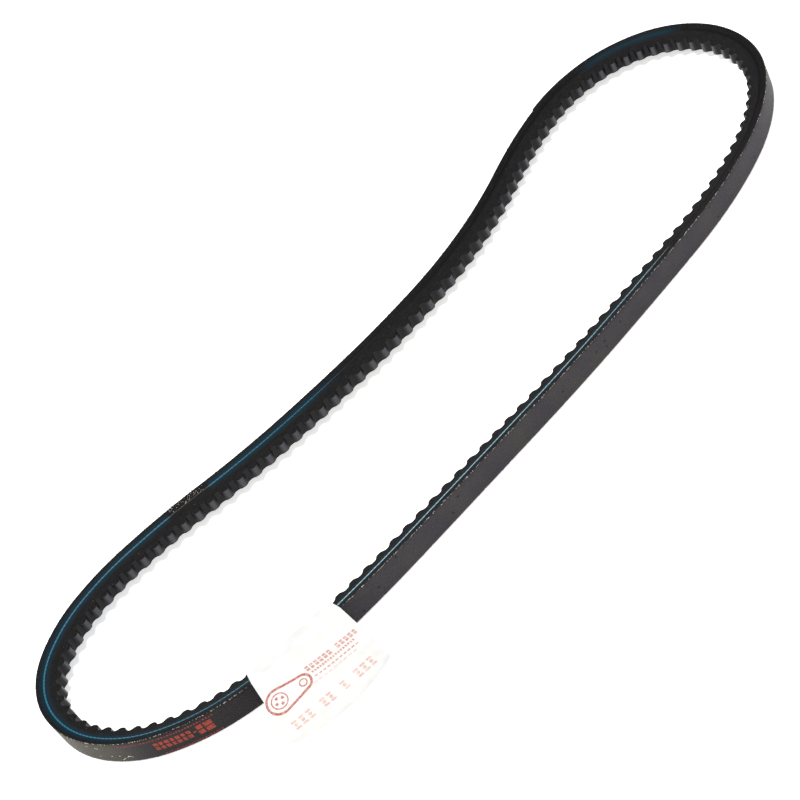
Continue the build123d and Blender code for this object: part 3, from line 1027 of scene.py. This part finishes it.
def on_roof(along, down, lift):
    """From millimetres along the sleeve from its right cut and down its roof to the straight belt."""
    share = along * MM / (SLEEVE_TO - SLEEVE_FROM)
    slope = (Vector((crease_reach(share), 0)) - Vector((GAP, ridge))).length
    here = roof(share, down * MM / slope)
    ahead = roof(share, down * MM / slope + A_LITTLE)
    way = (ahead - here).normalized()
    spot = here + lift * Vector((-way.y, way.x))
    return (SLEEVE_FROM + along * MM, -spot.x, spot.y - MIDDLE)


SIGN = (28.4, 11.2)                 # middle of the sign: two pulleys and a belt, drawn as plain rings
BIG, SMALL, REACH_OUT, LINE = 4.2, 2.6, 4.4, 0.8
STRAIGHT_STEPS = 10
HUBS = ((2.6, 0.4), (1.2, 0.4))     # radius and line of the inner ring of each pulley
HOLES = (1.3, 0.9, 40, 3)           # radius, line, degrees and steps of the big pulley's four holes
lean = math.degrees(math.asin((BIG - SMALL) / (2 * REACH_OUT)))
big, small = (SIGN[0] + REACH_OUT, SIGN[1]), (SIGN[0] - REACH_OUT, SIGN[1])
sign = [ring(big, BIG, LINE, -90 - lean, 90 + lean), ring(small, SMALL, LINE, 90 + lean, 270 - lean)]
for up in (1, -1):
    way = Vector((-math.sin(math.radians(lean)), up * math.cos(math.radians(lean))))
    edges = [[Vector(middle) + (radius + side * LINE / 2) * way
              for middle, radius in ((big, BIG), (small, SMALL))] for side in (-1, 1)]
    sign.append([tuple(tuple(from_big.lerp(to_small, step / STRAIGHT_STEPS)) for from_big, to_small in edges)
                 for step in range(STRAIGHT_STEPS + 1)])
sign += [ring(middle, *hub) for middle, hub in zip((big, small), HUBS)]
radius, width, sweep, steps = HOLES
sign += [ring(big, radius, width, start, start + sweep, steps) for start in range(0, 360, 90)]

# Rows run from right to left, so `left` falls by one pitch for each mark, and lean a little down the roof.
BLOCKS = {"right": 21.2, "pitch": 1.62, "slope": 0.13, "count": 12, "space": 6}
BLOCK_ROWS = ((1.1, 0.0, 7.4, 8.1), (1.25, 0.15, 8.4, 9.3))     # from, to, low and high of a block
LINES = ((10.0, 0.75, 0.95), (11.9, 0.5, 1.5))                  # down, height and pitch of dotted lines
LINE_RIGHT, LINE_LENGTH, LINE_SLOPE, DASH = 20.2, 17, 0.08, 0.62
FAINT_LINE = {"count": 9, "left": 20.4, "width": 1.2, "pitch": 1.8, "low": 13.6, "high": 13.9, "slope": 0.12}
BIG_MARKS = {"right": 34.0, "pitch": 2.5, "count": 12, "spaces": (3, 6, 8)}
BIG_ROWS = ((1.7, 0.0, 19.4, 20.1), (2.1, 0.4, 21.9, 22.6))
BIG_DOT = (1.1, 21.0, 0.35, 0.5)    # to the left, down, radius and line of the dot between the rows
ITALIC, BIG_ITALIC = -0.15, -0.2    # how far upper edges are shifted
rows = []
for place in range(BLOCKS["count"]):
    if place != BLOCKS["space"]:
        left, drop = BLOCKS["right"] - BLOCKS["pitch"] * place, BLOCKS["slope"] * place
        rows += [bar(left - start, left - end, low + drop, high + drop, ITALIC)
                 for start, end, low, high in BLOCK_ROWS]
for down, height, pitch in LINES:
    for place in range(int(LINE_LENGTH / pitch)):
        left, drop = LINE_RIGHT - pitch * place, LINE_SLOPE * pitch * place
        rows.append(bar(left - DASH * pitch, left, down + drop, down + height + drop, ITALIC, 2))
faint = []
for place in range(FAINT_LINE["count"]):
    left, drop = FAINT_LINE["left"] - FAINT_LINE["pitch"] * place, FAINT_LINE["slope"] * place
    faint.append(bar(left, left + FAINT_LINE["width"], FAINT_LINE["low"] + drop, FAINT_LINE["high"] + drop))
back, down, radius, width = BIG_DOT
for place in range(BIG_MARKS["count"]):
    if place not in BIG_MARKS["spaces"]:
        left = BIG_MARKS["right"] - BIG_MARKS["pitch"] * place
        faint += [bar(left - start, left - end, low, high, BIG_ITALIC) for start, end, low, high in BIG_ROWS]
        faint.append(ring((left - back, down), radius, width, pieces=10))
slabs("sleeve_print_sign", sign, on_roof, red_ink, "sleeve")
slabs("sleeve_print_rows", rows, on_roof, rubbed_ink, "sleeve")
slabs("sleeve_print_faint", faint, on_roof, pale_ink, "sleeve")
print("sleeve print:", len(sign + rows + faint), "strips")


# %% Print on the back
def on_back(along, across, lift):
    """From millimetres along the cord line and up from the middle plane to the straight belt's back."""
    return (along * MM, -lift, across * MM)


PRINT_FROM = 62.0
FIRST_BLOCKS = 5.0                  # the blocks in this many first millimetres are taller
TALL, LESS_TALL, SPLIT_LINE, SPACE = 4.5, 3.7, 0.25, 0.6
HYPHEN, HYPHEN_EDGES = 1.0, (-0.3, 0.4)
BLOCK_WIDTHS = (2.9, 2.0, 0.0, 1.5, 1.2, 1.5, 1.1, 1.5, 1.2, 1.4)  # 0 stands for the hyphen
TICKS = (33, 1.05, 3.1, 3.85, 0.3, 3)           # count, pitch, low, high, cut and which ones are cut
FOOT_TICKS = (21, 1.0, -4.6, -3.9, 0.25, 2)
TICK_FROM, TICK_WIDTH, TICK_ITALIC = 60.5, 0.6, 0.1
BACK_ITALIC = 0.15
blocks, place = [], PRINT_FROM
for width in BLOCK_WIDTHS:
    tall = TALL if place < PRINT_FROM + FIRST_BLOCKS else LESS_TALL
    if width:
        blocks += [bar(place, place + width, low, high, BACK_ITALIC)
                   for low, high in ((-tall / 2, -SPLIT_LINE), (SPLIT_LINE, tall / 2))]
    else:
        width = HYPHEN
        blocks.append(bar(place, place + width, *HYPHEN_EDGES))
    place += width + SPACE
ticks = []
for count, pitch, low, high, cut, every in (TICKS, FOOT_TICKS):
    for place in range(count):
        left = TICK_FROM + pitch * place
        ticks.append(bar(left, left + TICK_WIDTH, low, high - cut * (place % every == 1), TICK_ITALIC, 1))
slabs("back_print_blocks", blocks, on_back, back_ink, "bend_left_lower")
slabs("back_print_ticks", ticks, on_back, dark_red_ink, "bend_left_lower")
SCUFFS = (                          # along, across, length and rise
    (92.0, -2.9, 1.6, 0.9), (93.2, -2.2, 0.9, -0.5), (95.0, -3.2, 1.5, -0.9), (96.4, -2.0, 0.5, 0.2),
    (99.5, -1.9, 0.6, -0.3), (103.0, 1.9, 1.2, 0.5), (104.5, -2.6, 0.5, 0.3), (107.0, 2.6, 0.7, 0.2),
)
SCUFF_WIDTHS = (0.28, 0.22)
scuffs = []
for along, across, length, rise in SCUFFS:
    start, end = (along, across), (along + length, across + rise)
    scuffs.append([(spot, (spot[0], spot[1] + width)) for spot, width in zip((start, end), SCUFF_WIDTHS)])
slabs("back_scuffs", scuffs, on_back, chalk, "bend_left_lower")
print("back print:", len(blocks + ticks + scuffs), "strips")

# %% [markdown]
# ## Floor, light and camera
# The belt lies on a plain, almost white floor under a large soft light, with a second light low on the left
# that grazes the back. The lens is a short telephoto, held high, with the long loop running up the frame.

# %% Floor
bpy.data.objects.remove(guide)
REACH = 6.0                         # metres from the middle to the floor's edges
floor_mesh = bpy.data.meshes.new("floor")
floor_mesh.from_pydata([(x * REACH, y * REACH, 0) for x, y in ((-1, -1), (1, -1), (1, 1), (-1, 1))], [],
                       [(0, 1, 2, 3)])
floor = bpy.data.objects.new("floor", floor_mesh)
bpy.context.scene.collection.objects.link(floor)
pale, tree, shader = material("white seamless paper backdrop", "#fafafa", 0.9)
shader.inputs["Emission Color"].default_value = colour("#ffffff")
shader.inputs["Emission Strength"].default_value = 0.65
on_floor = add(tree, "ShaderNodeTexCoord", out="Object")
cloudy = add(tree, "ShaderNodeTexNoise", {"Vector": on_floor, "Scale": 30.0})
wire(shader, Base_Color=tint(cloudy, colour("#f8f8f8"), colour("#fcfcfc")))
floor_mesh.materials.append(pale)


# %% Light
def soft_light(label, place, size, power, shade="#ffffff"):
    """A square area light that looks at the middle of the loop."""
    data = bpy.data.lights.new(label, "AREA")
    data.size = size
    data.energy = power
    data.color = colour(shade)[:3]
    lamp = bpy.data.objects.new(label, data)
    lamp.location = place
    lamp.rotation_euler = (-Vector(place)).to_track_quat("-Z", "Y").to_euler()
    bpy.context.scene.collection.objects.link(lamp)


soft_light("overhead", (-0.1, 0.12, 1.6), size=0.9, power=26)
soft_light("low_left", (-1.4, -0.45, 0.25), size=0.4, power=5, shade="#ffefc8")
world = bpy.data.worlds.new("studio")
world.use_nodes = True
world.node_tree.nodes["Background"].inputs["Color"].default_value = colour("#ffffff")
world.node_tree.nodes["Background"].inputs["Strength"].default_value = 0.4
bpy.context.scene.world = world
bpy.context.scene.view_settings.view_transform = "Standard"

# %% Camera
EYE = shift + Vector((-232.61, -453.43, 413.33)) * MM
HEADING = math.radians(-25.245)
DIP = math.radians(38.945)
ROLL = math.radians(-31.706)
ahead = Vector((-math.sin(HEADING), math.cos(HEADING), 0))
right = Vector((math.cos(HEADING), math.sin(HEADING), 0))
look = ahead * math.cos(DIP) - Vector((0, 0, math.sin(DIP)))
upward = ahead * math.sin(DIP) + Vector((0, 0, math.cos(DIP)))
side = math.cos(ROLL) * right + math.sin(ROLL) * upward
top = math.cos(ROLL) * upward - math.sin(ROLL) * right
lens = bpy.data.cameras.new("camera")
lens.sensor_width = 36
lens.lens = 80.18
lens.clip_start = 0.01
camera = bpy.data.objects.new("camera", lens)
camera.matrix_world = Matrix.Translation(EYE) @ Matrix((side, top, -look)).transposed().to_4x4()
bpy.context.scene.collection.objects.link(camera)
bpy.context.scene.camera = camera
print("the camera looks down", round(math.degrees(DIP), 1), "degrees")
